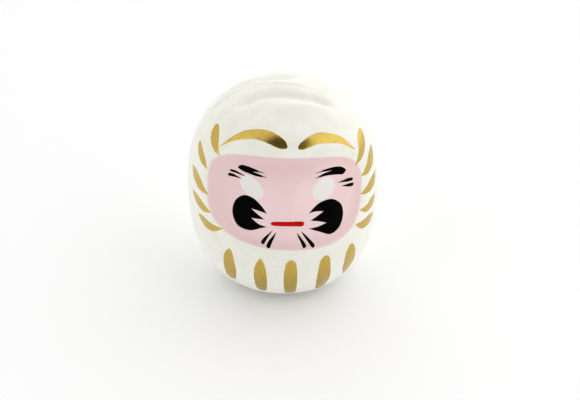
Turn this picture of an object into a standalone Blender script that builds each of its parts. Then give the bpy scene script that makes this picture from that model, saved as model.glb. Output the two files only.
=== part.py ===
"""Daruma doll: a hollow papier-mache tumbler doll with a clay weight in its foot.

Units are metres, +Z is up, the face looks along -Y, and the origin is the middle of the
foot's underside. The body is two moulded paper shells that meet on an upright plane across
the crown. Pasted paper strips cover that seam, a clay weight closes the bottom, hide glue
holds it from inside, and a paper ring covers the joint round the foot.
"""

import math

import bmesh
import bpy
from mathutils import Matrix, Vector

# Overall size
HEIGHT = 0.105  # foot to crown, without the paper strips
WIDTH = 0.095  # across the widest part, in plan
MIDDLE_Z = 0.049  # height of the widest part
FOOT_RADIUS = 0.023  # the flat that the doll stands on
CROWN_POWER = 2.4  # squareness of the profile above the middle
BELLY_POWER = 2.7  # squareness of the profile below it

# Paper shells
WALL = 0.0022
SEAM_Y = 0.0025  # the plane where the front and back shells meet
JOINT_GAP = 0.0003  # clearance between two pieces that touch
RIM_Z = 0.0065  # height of the shells' round bottom edge

# Face: a shallow hollow under a brow, with a small nose
FACE_HALF_WIDTH = 0.0355
FACE_TOP_Z = 0.0865
FACE_BOTTOM_Z = 0.042
FACE_DEPTH = 0.0026
FACE_EDGE = 0.0085  # how far the hollow's edge takes to slope in
BROW_HEIGHT = 0.0010
BROW_SPREAD = 0.0075
NOSE_Z = 0.0665
NOSE_HEIGHT = 0.0022
NOSE_SPREAD = 0.0075

# Paper strips over the seam
STRIP_WIDTH = 0.0080
STRIP_THICKNESS = 0.0005
STRIP_END_GAP = 0.0006  # between the ends of two strips
CROWN_STRIP_HALF_ANGLE = math.radians(44)  # the crown strip's reach each side of upright

# Clay weight
WEIGHT_HEIGHT = 0.0175  # foot to the top of the dome inside
PLUG_CLEARANCE = 0.0012  # between the weight's plug and the shells' inner edge
FOOT_EDGE = 0.0012  # rounding round the foot
GLUE_WIDTH = 0.0032  # hide glue bead round the plug

# Paper ring over the joint between weight and shells
RING_LOW_Z = 0.0030
RING_HIGH_Z = 0.0105
RING_THICKNESS = 0.0005

# Mesh fineness
FORM_SEGMENTS = 56  # round the Y axis
FORM_RINGS = 30  # from the face to the back
TURN_STEPS = 48  # turned pieces
PROFILE_STEPS = 5

HALF_WIDTH = WIDTH / 2
MIDDLE = Vector((0, 0, MIDDLE_Z))


def clear_scene():
    for thing in list(bpy.data.objects):
        bpy.data.objects.remove(thing)


def new_collection(name):
    collection = bpy.data.collections.new(name)
    bpy.context.scene.collection.children.link(collection)
    return collection


def material(name, colour, roughness, metallic=0.0):
    made = bpy.data.materials.new(name)
    made.use_nodes = True
    shader = made.node_tree.nodes["Principled BSDF"]
    shader.inputs["Base Color"].default_value = (*colour, 1)
    shader.inputs["Roughness"].default_value = roughness
    shader.inputs["Metallic"].default_value = metallic
    return made


# ---------------------------------------------------------------------------
# The body's form
# ---------------------------------------------------------------------------
def belly_drop():
    """Depth of the uncut lower half: its curve crosses z = 0 at the foot's radius."""
    share = (1 - (FOOT_RADIUS / HALF_WIDTH) ** BELLY_POWER) ** (1 / BELLY_POWER)
    return MIDDLE_Z / share


BELLY_DROP = belly_drop()


def profile_radius(z):
    """Radius of the turned form at height z."""
    above = z >= MIDDLE_Z
    power = CROWN_POWER if above else BELLY_POWER
    reach = HEIGHT - MIDDLE_Z if above else BELLY_DROP
    share = min(abs(z - MIDDLE_Z) / reach, 1)
    return HALF_WIDTH * (1 - share**power) ** (1 / power)


def plain_reach(direction):
    """Distance from the body's middle to the turned form, along a unit direction."""
    above = direction.z >= 0
    power = CROWN_POWER if above else BELLY_POWER
    height = HEIGHT - MIDDLE_Z if above else BELLY_DROP
    across = math.hypot(direction.x, direction.y) / HALF_WIDTH
    return (across**power + (abs(direction.z) / height) ** power) ** (-1 / power)


def smooth(value):
    """0 below 0, 1 above 1, and an even S between them."""
    value = max(0.0, min(1.0, value))
    return value * value * (3 - 2 * value)


def bump(distance, spread):
    return math.exp(-((distance / spread) ** 2))


def face_relief(point):
    """How far the front stands out (+) or in (-) at a point on the turned form."""
    if point.y > 0:
        return 0.0
    face_mid_z = (FACE_TOP_Z + FACE_BOTTOM_Z) / 2
    face_half_height = (FACE_TOP_Z - FACE_BOTTOM_Z) / 2
    across = abs(point.x) / FACE_HALF_WIDTH
    along = abs(point.z - face_mid_z) / face_half_height
    share = (across**3 + along**3) ** (1 / 3)
    inside = smooth((1 - share) * FACE_HALF_WIDTH / FACE_EDGE + 0.5)
    hollow = -FACE_DEPTH * inside
    brow_z = FACE_TOP_Z + BROW_SPREAD
    brow = BROW_HEIGHT * bump(point.z - brow_z, BROW_SPREAD) * bump(point.x, FACE_HALF_WIDTH)
    nose = NOSE_HEIGHT * bump(math.hypot(point.x, point.z - NOSE_Z), NOSE_SPREAD)
    return hollow + brow + nose


def body_point(direction, lift):
    """The point of the body's outer surface along a unit direction, lifted off it."""
    reach = plain_reach(direction)
    return MIDDLE + direction * (reach + face_relief(MIDDLE + direction * reach) + lift)


def body_form(lift):
    """The whole body as an open bmesh ball with its poles at the face and the back."""
    form = bmesh.new()
    bmesh.ops.create_uvsphere(form, u_segments=FORM_SEGMENTS, v_segments=FORM_RINGS, radius=1)
    # half a step of turn keeps the edges off the upright mirror plane
    turn = Matrix.Rotation(math.pi / 2, 4, "X") @ Matrix.Rotation(math.pi / FORM_SEGMENTS, 4, "Z")
    bmesh.ops.transform(form, matrix=turn, verts=form.verts)
    for vert in form.verts:
        vert.co = body_point(vert.co.normalized(), lift)
    return form


def keep_side(form, point, normal):
    """Cuts the form with a plane and keeps what lies on the normal's side."""
    bmesh.ops.bisect_plane(
        form,
        geom=form.verts[:] + form.edges[:] + form.faces[:],
        dist=1e-6,
        plane_co=point,
        plane_no=normal,
        clear_inner=True,
    )


def finish_form(form, name, collection, surface, thickness, outwards):
    """Makes an object of an open form, and gives it its thickness."""
    mesh = bpy.data.meshes.new(name)
    form.to_mesh(mesh)
    form.free()
    mesh.shade_smooth()
    made = bpy.data.objects.new(name, mesh)
    collection.objects.link(made)
    mesh.materials.append(surface)
    wall = made.modifiers.new("wall", "SOLIDIFY")
    wall.thickness = thickness
    wall.offset = 1 if outwards else -1
    wall.use_even_offset = True
    return made


# ---------------------------------------------------------------------------
# Paper shells and the strips over their seam
# ---------------------------------------------------------------------------
def paper_shell(name, side, collection, surface):
    """Half of the body: side is -1 for the face half and +1 for the back half."""
    form = body_form(lift=0)
    edge = Vector((0, SEAM_Y + side * JOINT_GAP / 2, 0))
    keep_side(form, edge, Vector((0, side, 0)))
    keep_side(form, Vector((0, 0, RIM_Z)), Vector((0, 0, 1)))
    return finish_form(form, name, collection, surface, WALL, outwards=False)


def seam_strip(name, ends, collection, surface):
    """A strip on the seam; each end is (angle from upright towards +X, side that stays)."""
    form = body_form(lift=JOINT_GAP)
    for side in (-1, 1):
        keep_side(form, Vector((0, SEAM_Y - side * STRIP_WIDTH / 2, 0)), Vector((0, side, 0)))
    for angle, side in ends:
        across = Vector((math.cos(angle), 0, -math.sin(angle))) * side
        keep_side(form, MIDDLE + across * STRIP_END_GAP / 2, across)
    keep_side(form, Vector((0, 0, RING_HIGH_Z + STRIP_END_GAP)), Vector((0, 0, 1)))
    return finish_form(form, name, collection, surface, STRIP_THICKNESS, outwards=True)


def seam_strips(collection, surface):
    reach = CROWN_STRIP_HALF_ANGLE
    seam_strip("crown_seam_strip", [(-reach, 1), (reach, -1)], collection, surface)
    seam_strip("left_seam_strip", [(reach, 1), (0, 1)], collection, surface)
    seam_strip("right_seam_strip", [(-reach, -1), (0, -1)], collection, surface)


# ---------------------------------------------------------------------------
# Turned pieces at the foot
# ---------------------------------------------------------------------------
def turned(name, profile, collection, surface, closed):
    """Turns (radius, z) points round the Z axis; they run down the outer side."""
    form = bmesh.new()
    corners = [form.verts.new((radius, 0, z)) for radius, z in profile]
    pairs = list(zip(corners, corners[1:]))
    if closed:
        pairs.append((corners[-1], corners[0]))
    for pair in pairs:
        form.edges.new(pair)
    mesh = bpy.data.meshes.new(name)
    form.to_mesh(mesh)
    form.free()
    made = bpy.data.objects.new(name, mesh)
    collection.objects.link(made)
    mesh.materials.append(surface)
    screw = made.modifiers.new("turn", "SCREW")
    screw.steps = TURN_STEPS
    screw.render_steps = TURN_STEPS
    screw.use_merge_vertices = True
    screw.merge_threshold = 0.0001
    screw.use_smooth_shade = True
    return made


def flank_normal(z):
    """(outward, upward) parts of the turned form's unit normal at height z."""
    step = 1e-5
    slope = (profile_radius(z + step) - profile_radius(z - step)) / (2 * step)
    size = math.hypot(1, slope)
    return 1 / size, -slope / size


def flank_point(z, lift):
    """A (radius, z) point lifted off the turned form at height z."""
    out, up = flank_normal(z)
    return profile_radius(z) + out * lift, z + up * lift


def steps(low, high, count):
    return [low + (high - low) * i / count for i in range(count + 1)]


def plug_radius():
    """The weight's plug passes inside the shells' lower edge."""
    inner_edge = flank_point(RIM_Z, -WALL)[0]
    return inner_edge - PLUG_CLEARANCE


def seat_z():
    return RIM_Z - JOINT_GAP


def base_weight(collection, surface):
    """A clay plug: a domed top inside, a shoulder under the shells, and a flat foot."""
    dome_low_z = seat_z() + GLUE_WIDTH
    dome = [
        (
            plug_radius() * math.sin(turn),
            dome_low_z + (WEIGHT_HEIGHT - dome_low_z) * math.cos(turn),
        )
        for turn in steps(0, math.pi / 2, PROFILE_STEPS)
    ]
    shoulder = (plug_radius(), seat_z())
    flank = [(profile_radius(z), z) for z in steps(seat_z(), FOOT_EDGE, PROFILE_STEPS)]
    foot_rim = (FOOT_RADIUS, 0)
    foot_middle = (0, 0)
    profile = [*dome, shoulder, *flank, foot_rim, foot_middle]
    turned("base_weight", profile, collection, surface, closed=False)


def glue_bead(collection, surface):
    """Hide glue in the corner between the plug's side and the shells' inner wall."""
    low_z = flank_point(RIM_Z, -WALL)[1] + JOINT_GAP
    inner = plug_radius() + JOINT_GAP
    wall_low = flank_point(low_z, -WALL - JOINT_GAP)
    wall_high = flank_point(low_z + GLUE_WIDTH, -WALL - JOINT_GAP)
    profile = [(inner, wall_high[1]), wall_high, wall_low, (inner, wall_low[1])]
    turned("glue_bead", profile, collection, surface, closed=True)


def foot_paper_ring(collection, surface):
    """Paper pasted round the outside of the joint between the weight and the shells."""
    heights = steps(RING_HIGH_Z, RING_LOW_Z, PROFILE_STEPS)
    outer = [flank_point(z, JOINT_GAP + RING_THICKNESS) for z in heights]
    inner = [flank_point(z, JOINT_GAP) for z in reversed(heights)]
    turned("foot_paper_ring", outer + inner, collection, surface, closed=True)


def main():
    clear_scene()
    doll = new_collection("daruma_doll")
    paper = material("painted_paper", (0.90, 0.89, 0.84), 0.45)
    washi = material("pasted_strip", (0.89, 0.88, 0.82), 0.55)
    clay = material("bare_clay", (0.52, 0.46, 0.38), 0.9)
    glue = material("hide_glue", (0.45, 0.28, 0.10), 0.35)
    paper_shell("front_shell", -1, doll, paper)
    paper_shell("back_shell", 1, doll, paper)
    seam_strips(doll, washi)
    base_weight(doll, clay)
    glue_bead(doll, glue)
    foot_paper_ring(doll, washi)


main()
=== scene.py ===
"""Looks of the daruma doll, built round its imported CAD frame.

The doll is two moulded paper shells pasted together over a clay weight, with a white ground
coat, a soft pink face and brush strokes in gold, black and red. Each shell, strip, ring and
weight is built again with its fine relief, and each group of strokes is a thin film of paint
that lies on them. Everything is one rigid body.
"""

import logging
import math
from collections.abc import Iterable, Sequence
from dataclasses import dataclass
from enum import Enum
from typing import Any

import bmesh
import bpy
import numpy as np
from bmesh.types import BMesh, BMVert
from bpy.types import Material, NodeSocket, NodeTree, Object
from mathutils import Matrix, Vector, noise


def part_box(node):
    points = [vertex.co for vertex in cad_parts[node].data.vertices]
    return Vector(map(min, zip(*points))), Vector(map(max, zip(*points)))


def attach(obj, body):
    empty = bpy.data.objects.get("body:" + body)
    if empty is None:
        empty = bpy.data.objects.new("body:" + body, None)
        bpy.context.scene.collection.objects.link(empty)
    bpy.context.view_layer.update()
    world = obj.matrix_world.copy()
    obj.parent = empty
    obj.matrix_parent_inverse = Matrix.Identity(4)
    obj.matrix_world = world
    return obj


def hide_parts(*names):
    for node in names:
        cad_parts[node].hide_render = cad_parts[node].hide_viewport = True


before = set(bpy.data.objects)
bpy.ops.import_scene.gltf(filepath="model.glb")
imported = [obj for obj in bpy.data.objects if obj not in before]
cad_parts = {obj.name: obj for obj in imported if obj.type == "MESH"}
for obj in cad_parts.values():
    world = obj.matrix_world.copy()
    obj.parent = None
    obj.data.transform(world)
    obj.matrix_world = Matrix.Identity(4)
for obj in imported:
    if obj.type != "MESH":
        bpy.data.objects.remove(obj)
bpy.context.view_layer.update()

MM = 0.001
BODY = "root"
STROKE_MAP = "stroke"

# points nearer than these, in metres, are joined: in a spun form, and in the thin films
SNAP = 1e-6
FINE_SNAP = 1e-7

Pair = tuple[float, float]
Point = tuple[float, float, float]
Colour = tuple[float, float, float, float]

log = logging.getLogger("daruma_doll")


# ---- Curves and small sums ----


def smooth(value: np.ndarray) -> np.ndarray:
    """Gives 0 below 0, 1 above 1, and an even S between them."""
    held = np.clip(value, 0.0, 1.0)
    return held * held * (3.0 - 2.0 * held)


def bump(distance: np.ndarray, spread: float) -> np.ndarray:
    """Gives a round bump: 1 at no distance, fading out over a few spreads."""
    return np.exp(-((distance / spread) ** 2))


def curve_through(points: Sequence[Sequence[float]], shares: np.ndarray) -> np.ndarray:
    """Reads a smooth curve that passes through the given points.

    Args:
        points: the points, each of any number of values.
        shares: where to read the curve, from 0 at its start to 1 at its end.

    Returns:
        One row of values for each share.
    """
    given = np.asarray(points, float)
    knots = np.concatenate([[0.0], np.cumsum(np.linalg.norm(np.diff(given, axis=0), axis=1))])
    slopes = np.gradient(given, knots, axis=0)
    at = np.asarray(shares) * knots[-1]
    left = np.clip(np.searchsorted(knots, at, side="right") - 1, 0, len(knots) - 2)
    span = (knots[left + 1] - knots[left])[:, None]
    way = (at - knots[left])[:, None] / span
    rise = way * way * (3 - 2 * way)
    leave = way * (1 - way) ** 2
    arrive = -(way**2) * (1 - way)
    blended = given[left] * (1 - rise) + given[left + 1] * rise
    return blended + span * (slopes[left] * leave + slopes[left + 1] * arrive)


def rippled(points: np.ndarray, sizes: float | Sequence[float], seed: float) -> np.ndarray:
    """Reads smooth noise at some points.

    Args:
        points: one row of x, y and z for each point.
        sizes: the size of the noise's lumps, the same each way or along x, y and z.
        seed: shifts the noise, so that two uses of it differ.

    Returns:
        A value from about -1 to 1 for each point.
    """
    scaled = np.asarray(points) / np.asarray(sizes) + seed
    return np.array([noise.noise(Vector(row)) for row in scaled])


# ---- The body's form ----


@dataclass(frozen=True)
class FaceHollow:
    """The shallow hollow that holds the face, the brow over it, and the nose."""

    half_width: float = 35.5 * MM
    top_z: float = 86.5 * MM
    bottom_z: float = 42.0 * MM
    depth: float = 2.6 * MM
    edge: float = 8.5 * MM
    brow_height: float = 1.0 * MM
    brow_spread: float = 7.5 * MM
    nose_z: float = 66.5 * MM
    nose_height: float = 2.2 * MM
    nose_spread: float = 7.5 * MM
    bridge_z: float = 84.0 * MM
    bridge_depth: float = 1.3 * MM
    bridge_half_width: float = 15.0 * MM
    bridge_spread: float = 6.0 * MM

    def relief(self, points: np.ndarray) -> np.ndarray:
        """Says how far the face stands out (+) or in (-) at points on the plain form."""
        x, y, z = points.T
        middle_z = (self.top_z + self.bottom_z) / 2
        half_height = (self.top_z - self.bottom_z) / 2
        across = np.abs(x) / self.half_width
        along = np.abs(z - middle_z) / half_height
        share = (across**3 + along**3) ** (1 / 3)
        inside = smooth((1 - share) * self.half_width / self.edge + 0.5)
        brow_z = self.top_z + self.brow_spread
        brow = bump(z - brow_z, self.brow_spread) * bump(x, self.half_width)
        nose = bump(np.hypot(x, z - self.nose_z), self.nose_spread)
        bridge = bump(z - self.bridge_z, self.bridge_spread) * bump(x, self.bridge_half_width)
        raised = self.brow_height * brow + self.nose_height * nose
        sunk = self.depth * inside + self.bridge_depth * bridge
        return np.where(y > 0, 0.0, raised - sunk)


@dataclass(frozen=True)
class Crease:
    """A fold that the wet paper took on over the crown.

    Attributes:
        path: points (x, y) in millimetres along the fold, seen from above.
        rise: how far the fold stands out, or below 0 how deep it is.
        spread: the fold's half width.
        fade: the share of its length over which each end dies out.
    """

    path: tuple[Pair, ...]
    rise: float
    spread: float
    fade: float = 0.35

    STEPS = 40
    LOWEST_Z = 70.0 * MM

    def relief(self, points: np.ndarray) -> np.ndarray:
        """Says how far the fold lifts the surface at each point."""
        near = points[:, 2] > self.LOWEST_Z
        shares = np.linspace(0, 1, self.STEPS)
        line = curve_through(self.path, shares) * MM
        step = np.linalg.norm(np.diff(line, axis=0), axis=1).mean()
        ways = np.gradient(line, axis=0)
        ways /= np.linalg.norm(ways, axis=1)[:, None]
        gaps = points[near, None, :2] - line[None]
        nearest = np.argmin((gaps**2).sum(axis=2), axis=1)
        gap = gaps[np.arange(len(nearest)), nearest]
        way = ways[nearest]
        past = (gap * way).sum(axis=1)
        aside = np.abs(gap[:, 0] * way[:, 1] - gap[:, 1] * way[:, 0])
        share = (nearest + past / step) / (self.STEPS - 1)
        strength = smooth(np.minimum(share, 1 - share) / self.fade)
        lifted = np.zeros(len(points))
        lifted[near] = self.rise * strength * bump(aside, self.spread)
        return lifted


CROWN_CREASES = (
    # the long fold in front of the seam, then its ends down the right (-X) and the left side
    Crease(
        ((-24.5, -13.2), (-20, -11.8), (-14, -9.8), (-7, -9), (-1, -9.5), (5, -11), (10, -13)),
        -2.6 * MM, 2.9 * MM, 0.22,
    ),
    Crease(
        ((-34, -16.5), (-31, -13.6), (-28, -12.4), (-23, -11.8), (-19, -11.6)),
        -0.4 * MM, 2.2 * MM, 0.3,
    ),
    Crease(
        ((3, -11.8), (8, -12.3), (13, -12.8), (18, -13.8), (23, -15.2)),
        -1.9 * MM, 2.4 * MM, 0.3,
    ),
    # the ridge that was pushed up in front of it, and the hollow below the ridge
    Crease(
        ((-13, -15.5), (-6, -18.4), (-1, -20), (5, -20.3), (11, -20), (18, -18.8), (26, -17.2)),
        1.6 * MM, 3.3 * MM,
    ),
    Crease(((-9, -24.5), (-2, -27), (4, -27), (12, -26)), -0.55 * MM, 2.6 * MM),
    # the lip along the seam, and the trough behind it
    Crease(
        (
            (-43, 0.4), (-37, 1), (-28, 1.3), (-19, 1.5), (-12, 2.1),
            (-4, 1.5), (4, -0.6), (12, -3), (19, -5),
        ),
        0.5 * MM, 1.6 * MM, 0.2,
    ),
    Crease(
        ((-40, 5.2), (-30, 6.2), (-20, 6.8), (-10, 7.2), (2, 6.2), (13, 4.2)),
        -1.2 * MM, 3.2 * MM, 0.25,
    ),
)


@dataclass(frozen=True)
class BodyForm:
    """The doll's outer form, worked out along directions from the body's middle."""

    height: float
    width: float
    middle_z: float = 49.0 * MM
    foot_radius: float = 23.0 * MM
    crown_power: float = 2.4
    belly_power: float = 2.7
    face: FaceHollow = FaceHollow()
    creases: tuple[Crease, ...] = CROWN_CREASES
    unevenness: float = 0.3 * MM
    uneven_size: float = 22.0 * MM
    dimple: float = 0.12 * MM
    dimple_size: float = 8.0 * MM
    crumple: float = 0.35 * MM
    crumple_y: float = 9.0 * MM
    crumple_spread: float = 7.0 * MM
    crumple_low_z: float = 84.0 * MM
    crumple_rise: float = 14.0 * MM
    crumple_sizes: Point = (11 * MM, 2.6 * MM, 9 * MM)

    @property
    def middle(self) -> np.ndarray:
        """The point that every direction starts from."""
        return np.array([0.0, 0.0, self.middle_z])

    @property
    def belly_drop(self) -> float:
        """Depth of the uncut lower half: its curve crosses the floor at the foot's radius."""
        share = 1 - (2 * self.foot_radius / self.width) ** self.belly_power
        return self.middle_z / share ** (1 / self.belly_power)

    def curve_of(self, rise: np.ndarray) -> tuple[np.ndarray, np.ndarray]:
        """Gives the plain form's power and half height, above or below the middle."""
        power = np.where(rise >= 0, self.crown_power, self.belly_power)
        return power, np.where(rise >= 0, self.height - self.middle_z, self.belly_drop)

    def radius_at(self, z: np.ndarray) -> np.ndarray:
        """Gives the plain form's radius at some heights."""
        rise = np.asarray(z) - self.middle_z
        power, half_height = self.curve_of(rise)
        share = np.clip(np.abs(rise) / half_height, 0, 1)
        return self.width / 2 * (1 - share**power) ** (1 / power)

    def plain_reach(self, directions: np.ndarray) -> np.ndarray:
        """Gives the distance from the middle to the plain turned form."""
        power, half_height = self.curve_of(directions[:, 2])
        across = np.hypot(directions[:, 0], directions[:, 1]) * 2 / self.width
        along = np.abs(directions[:, 2]) / half_height
        return (across**power + along**power) ** (-1 / power)

    def relief(self, points: np.ndarray) -> np.ndarray:
        """Says how far the moulded surface lies off the plain form at each point."""
        total = self.face.relief(points)
        for crease in self.creases:
            total += crease.relief(points)
        total += self.unevenness * rippled(points, self.uneven_size, seed=4.7)
        total += self.dimple * rippled(points, self.dimple_size, seed=9.2)
        behind = bump(points[:, 1] - self.crumple_y, self.crumple_spread)
        high = smooth((points[:, 2] - self.crumple_low_z) / self.crumple_rise)
        folds = rippled(points, self.crumple_sizes, seed=1.3)
        return total + self.crumple * behind * high * folds

    def surface(self, toward: np.ndarray, lift: float | np.ndarray = 0.0) -> np.ndarray:
        """Finds the body's surface in the direction of some points.

        Args:
            toward: one point a row, at any distance from the body's middle.
            lift: how far the result lies off the surface.

        Returns:
            One point a row.
        """
        directions = toward - self.middle
        directions = directions / np.linalg.norm(directions, axis=1)[:, None]
        reach = self.plain_reach(directions)
        plain = self.middle + directions * reach[:, None]
        return self.middle + directions * (reach + self.relief(plain) + lift)[:, None]

    def round_at(self, turns: np.ndarray, heights: np.ndarray) -> np.ndarray:
        """Gives plain points at some angles round from the front, and some heights.

        Args:
            turns: angles in degrees from the front towards +X.
            heights: heights in millimetres.

        Returns:
            One point a row, on the plain turned form.
        """
        angle = np.radians(turns)
        z = np.asarray(heights) * MM
        radius = self.radius_at(z)
        return np.stack([radius * np.sin(angle), -radius * np.cos(angle), z], axis=1)


# ---- Meshes ----


def places_of(verts: Iterable[BMVert]) -> np.ndarray:
    """Reads the places of some vertices, one row each."""
    return np.array([vert.co[:] for vert in verts])


def move_to(verts: Iterable[BMVert], places: np.ndarray) -> None:
    """Puts each vertex at its row of places."""
    for vert, place in zip(verts, places):
        vert.co = place


def cut_away(form: BMesh, point: Sequence[float], keep: Sequence[float]) -> None:
    """Cuts a form with a plane.

    Args:
        form: what is cut.
        point: a point of the plane.
        keep: the plane's normal, which points to what stays.
    """
    parts = form.verts[:] + form.edges[:] + form.faces[:]
    plane = {"plane_co": point, "plane_no": keep}
    bmesh.ops.bisect_plane(form, geom=parts, dist=FINE_SNAP, clear_inner=True, **plane)


def face_outwards(form: BMesh, middle: Sequence[float]) -> None:
    """Turns round every face that looks towards the middle."""
    form.normal_update()
    start = Vector(middle)
    inward = [face for face in form.faces if face.normal.dot(face.calc_center_median() - start) < 0]
    bmesh.ops.reverse_faces(form, faces=inward)


def spun(profile: Iterable[Pair], columns: int) -> BMesh:
    """Spins a profile round the doll's upright middle line.

    Args:
        profile: (radius, height) points, in order.
        columns: how many faces go round.

    Returns:
        The spun form, with the points that meet joined.
    """
    form = bmesh.new()
    corners = [form.verts.new((radius, 0.0, z)) for radius, z in profile]
    edges = [form.edges.new(pair) for pair in zip(corners, corners[1:])]
    way = {"axis": (0, 0, 1), "cent": (0, 0, 0), "angle": 2 * math.pi}
    bmesh.ops.spin(form, geom=corners + edges, steps=columns, use_merge=True, **way)
    bmesh.ops.remove_doubles(form, verts=form.verts, dist=SNAP)
    return form


class Slot(Enum):
    """The record's material slots."""

    PAPER = "painted_paper"
    STRIP = "pasted_strip"
    CLAY = "bare_clay"
    GLUE = "hide_glue"
    GOLD = "gold_paint"
    BLACK = "black_paint"
    RED = "red_paint"


@dataclass(frozen=True)
class PieceOrder:
    """What a finished piece is called, wears and stands for.

    Attributes:
        name: the piece's name.
        slot: the record's slot that its finish belongs to.
        wears: its material.
        stands_for: the CAD nodes that it replaces.
        wall: the thickness given to an open sheet, inwards, or None for a closed form.
    """

    name: str
    slot: Slot
    wears: Material
    stands_for: tuple[str, ...] = ()
    wall: float | None = None


def finish_piece(form: BMesh, order: PieceOrder) -> Object:
    """Makes an object of a form and puts it on the doll.

    Args:
        form: the piece's mesh, which is freed.
        order: its name, finish and wall.

    Returns:
        The finished object.
    """
    mesh = bpy.data.meshes.new(order.name)
    form.to_mesh(mesh)
    form.free()
    mesh.shade_smooth()
    mesh.materials.append(order.wears)
    piece = bpy.data.objects.new(order.name, mesh)
    bpy.context.scene.collection.objects.link(piece)
    if order.wall is not None:
        wall = piece.modifiers.new("wall", "SOLIDIFY")
        wall.thickness = order.wall
        wall.offset = -1
        wall.use_even_offset = True
    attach(piece, BODY)
    if order.stands_for:
        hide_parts(*order.stands_for)
    log.info("%s: %d faces, %s", order.name, len(mesh.polygons), order.slot.value)
    return piece


# ---- Shader wiring ----


class Wiring:
    """Adds and joins shader nodes in one node tree."""

    def __init__(self, tree: NodeTree) -> None:
        """Starts on an empty or part-built tree."""
        self.tree = tree

    def feed(self, socket: NodeSocket, value: Any) -> None:
        """Links a socket to another, or sets it to a plain value."""
        if isinstance(value, NodeSocket):
            self.tree.links.new(value, socket)
        else:
            socket.default_value = value

    def node(self, kind: str, inputs: dict[Any, Any] | None = None, **settings: Any) -> Any:
        """Adds a node.

        Args:
            kind: the node's type name.
            inputs: values or sockets for its inputs, by name or number.
            **settings: the node's own settings.

        Returns:
            The node.
        """
        made = self.tree.nodes.new(kind)
        for name, value in settings.items():
            setattr(made, name, value)
        for key, value in (inputs or {}).items():
            self.feed(made.inputs[key], value)
        return made

    def math(self, operation: str, *values: Any) -> NodeSocket:
        """Adds a Math node and returns its result."""
        made = self.node("ShaderNodeMath", dict(enumerate(values)), operation=operation)
        return made.outputs[0]

    def times(self, first: Any, second: Any) -> NodeSocket:
        """Multiplies two values."""
        return self.math("MULTIPLY", first, second)

    def ramp(self, value: Any, low: float, high: float) -> NodeSocket:
        """Turns a value from low to high softly into 0 to 1."""
        inputs = {"Value": value, "From Min": low, "From Max": high}
        return self.node("ShaderNodeMapRange", inputs, interpolation_type="SMOOTHSTEP").outputs[0]

    def between(self, value: Any, start: float, end: float) -> NodeSocket:
        """Turns a value from 0 to 1 into start to end."""
        inputs = {"Value": value, "To Min": start, "To Max": end}
        return self.node("ShaderNodeMapRange", inputs).outputs[0]

    def mix(self, share: Any, first: Any, second: Any) -> NodeSocket:
        """Mixes two colours."""
        made = self.node("ShaderNodeMix", data_type="RGBA")
        self.feed(made.inputs["Factor"], share)
        self.feed(made.inputs["A"], first)
        self.feed(made.inputs["B"], second)
        return made.outputs["Result"]

    def noise(self, place: Any, scale: Any, detail: float = 2.0) -> NodeSocket:
        """Adds smooth noise and returns its value."""
        inputs = {"Vector": place, "Scale": scale, "Detail": detail}
        return self.node("ShaderNodeTexNoise", inputs).outputs["Fac"]

    def stretched(self, place: Any, scale: Sequence[float]) -> NodeSocket:
        """Scales a place along each axis."""
        return self.node("ShaderNodeMapping", {"Vector": place, "Scale": scale}).outputs[0]

    def axis(self, place: Any, letter: str) -> NodeSocket:
        """Reads a place along one axis."""
        return self.node("ShaderNodeSeparateXYZ", {0: place}).outputs[letter]


def colour(red: float, green: float, blue: float) -> Colour:
    """Gives an opaque colour."""
    return (red, green, blue, 1.0)


class EffectGroup:
    """A shader effect kept as a node group with named inputs and outputs."""

    def __init__(self, name: str, inputs: dict[str, Any], outputs: Sequence[str]) -> None:
        """Makes the empty group.

        Args:
            name: the group's name.
            inputs: each input's name and default; three values make a vector input.
            outputs: the names of the outputs, which are all plain values.
        """
        self.tree = bpy.data.node_groups.new(name, "ShaderNodeTree")
        for label, default in inputs.items():
            kind = "NodeSocketVector" if isinstance(default, tuple) else "NodeSocketFloat"
            made = self.tree.interface.new_socket(label, in_out="INPUT", socket_type=kind)
            made.default_value = default
        for label in outputs:
            self.tree.interface.new_socket(label, in_out="OUTPUT", socket_type="NodeSocketFloat")
        self.wiring = Wiring(self.tree)
        self.given = self.wiring.node("NodeGroupInput").outputs
        self.result = self.wiring.node("NodeGroupOutput").inputs

    def place(self, wiring: Wiring, **values: Any) -> Any:
        """Uses the group in a material.

        Args:
            wiring: the material's wiring.
            **values: inputs by name, with _ for a space.

        Returns:
            The group node's outputs.
        """
        made = wiring.node("ShaderNodeGroup", node_tree=self.tree)
        for name, value in values.items():
            wiring.feed(made.inputs[name.replace("_", " ")], value)
        return made.outputs


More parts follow.
